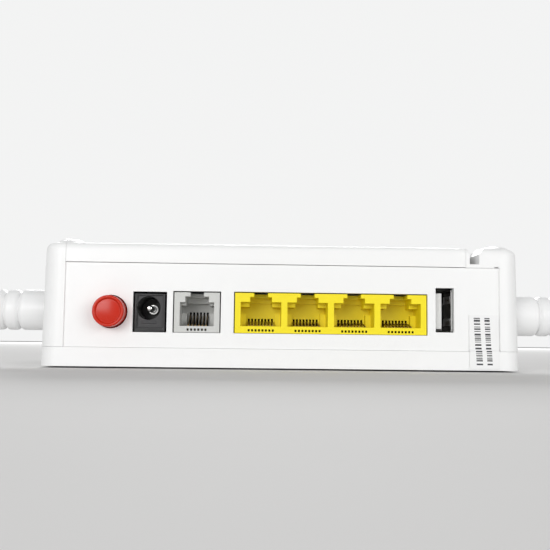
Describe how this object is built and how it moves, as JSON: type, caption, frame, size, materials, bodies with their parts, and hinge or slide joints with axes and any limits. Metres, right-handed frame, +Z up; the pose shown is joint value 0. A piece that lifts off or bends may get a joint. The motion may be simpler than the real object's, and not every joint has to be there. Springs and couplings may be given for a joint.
{
  "type": "optical network terminal",
  "caption": "White desk-top optical network terminal with rear power button, barrel power jack, phone jack, ganged LAN jacks, upright USB-A port, fibre hatch and swivelling side antennas.",
  "frame": {"origin": "on the surface that the feet stand on, midway between the antenna tips' outer faces and midway between the red button's face and the casing's front", "axes": "+X to the right seen from behind, +Y from the rear port panel to the front, +Z up"},
  "size_m": [0.2206, 0.1806, 0.1825],
  "materials": {
    "casing_white": "satin white moulded plastic with a very fine texture",
    "antenna_white": "satin white moulded plastic",
    "tray_grey": "light grey moulded plastic",
    "guide_clear": "frosted clear acrylic",
    "foot_rubber": "soft grey rubber",
    "screw_steel": "bright plated steel",
    "port_steel": "tin-plated sheet steel",
    "board_green": "green solder mask",
    "chip_black": "black moulded package",
    "heat_sink_metal": "extruded aluminium",
    "button_red": "glossy red plastic",
    "button_white": "satin white plastic",
    "jack_black": "black moulded plastic",
    "reset_red": "red plastic",
    "jack_grey": "light grey moulded plastic",
    "jack_yellow": "yellow moulded plastic",
    "contact_gold": "gold-plated spring wire",
    "insulator_white": "off-white moulded plastic",
    "adapter_blue": "blue moulded plastic",
    "lead_black": "black cable jacket",
    "label_white": "white film label printed with plain bars"
  },
  "bodies": {
    "casing": {"bottom_shell": "casing_white", "main_shell": "casing_white", "top_cover": "casing_white", "fibre_tray": "tray_grey", "light_guide": "guide_clear", "foot_1": "foot_rubber", "foot_2": "foot_rubber", "foot_3": "foot_rubber", "foot_4": "foot_rubber", "case_screw_1": "screw_steel", "case_screw_2": "screw_steel", "case_screw_3": "screw_steel", "case_screw_4": "screw_steel", "board_screw_left": "screw_steel", "board_screw_right": "screw_steel", "dc_jack_pin": "screw_steel", "usb_shell": "port_steel", "wifi_shield": "port_steel", "optical_module": "port_steel", "circuit_board": "board_green", "main_chip": "chip_black", "supply_capacitor_1": "chip_black", "supply_capacitor_2": "chip_black", "lan_transformer": "chip_black", "heat_sink": "heat_sink_metal", "dc_jack_housing": "jack_black", "power_switch_body": "jack_black", "wlan_switch": "jack_black", "wps_switch": "jack_black", "reset_switch": "jack_black", "phone_jack_housing": "jack_grey", "lan_jack_housing": "jack_yellow", "phone_jack_contacts": "contact_gold", "lan_jack_contacts_1": "contact_gold", "lan_jack_contacts_2": "contact_gold", "lan_jack_contacts_3": "contact_gold", "lan_jack_contacts_4": "contact_gold", "usb_tongue": "insulator_white", "optical_adapter": "adapter_blue", "antenna_lead_left": "lead_black", "antenna_lead_right": "lead_black", "seal_label": "label_white", "rating_label": "label_white"},
    "power_button": {"power_button_cap": "button_red", "power_switch_plunger": "button_white"},
    "wlan_key": {"wlan_button": "button_white"},
    "wps_key": {"wps_button": "button_white"},
    "reset_pin": {"reset_plunger": "reset_red"},
    "fibre_hatch": {"fibre_door": "casing_white"},
    "dust_plug": {"optical_dust_plug": "insulator_white"},
    "antenna_left": {"antenna_base_left": "antenna_white", "antenna_retainer_left": "screw_steel"},
    "antenna_right": {"antenna_base_right": "antenna_white", "antenna_retainer_right": "screw_steel"},
    "blade_left": {"antenna_blade_left": "antenna_white", "antenna_pin_left": "screw_steel"},
    "blade_right": {"antenna_blade_right": "antenna_white", "antenna_pin_right": "screw_steel"}
  },
  "joints": [
    {"name": "power_button_push", "type": "slide", "parent": "casing", "child": "power_button", "axis": [0, 1, 0], "range_m": [0, 0.0022], "stiffness_N_per_m": 800},
    {"name": "wlan_key_push", "type": "slide", "parent": "casing", "child": "wlan_key", "axis": [-1, 0, 0], "range_m": [0, 0.0005], "stiffness_N_per_m": 2000},
    {"name": "wps_key_push", "type": "slide", "parent": "casing", "child": "wps_key", "axis": [-1, 0, 0], "range_m": [0, 0.0005], "stiffness_N_per_m": 2000},
    {"name": "reset_pin_push", "type": "slide", "parent": "casing", "child": "reset_pin", "axis": [-1, 0, 0], "range_m": [0, 0.0004], "stiffness_N_per_m": 2000},
    {"name": "antenna_left_swivel", "type": "hinge", "parent": "casing", "child": "antenna_left", "pos_m": [-0.08, -0.0707, 0.0175], "axis": [1, 0, 0], "range_deg": [-90, 90]},
    {"name": "antenna_left_elbow", "type": "hinge", "parent": "antenna_left", "child": "blade_left", "pos_m": [-0.103, -0.0707, 0.0175], "axis": [0, -1, 0], "range_deg": [0, 90]},
    {"name": "antenna_right_swivel", "type": "hinge", "parent": "casing", "child": "antenna_right", "pos_m": [0.08, -0.0707, 0.0175], "axis": [1, 0, 0], "range_deg": [-90, 90]},
    {"name": "antenna_right_elbow", "type": "hinge", "parent": "antenna_right", "child": "blade_right", "pos_m": [0.103, -0.0707, 0.0175], "axis": [0, 1, 0], "range_deg": [0, 90]},
    {"name": "fibre_door_hinge", "type": "hinge", "parent": "casing", "child": "fibre_hatch", "pos_m": [0.02675, -0.0377, 0.03655], "axis": [0, -1, 0], "range_deg": [0, 95]},
    {"name": "dust_plug_pull", "type": "slide", "parent": "casing", "child": "dust_plug", "axis": [0, -1, 0], "range_m": [0, 0.009]}
  ]
}
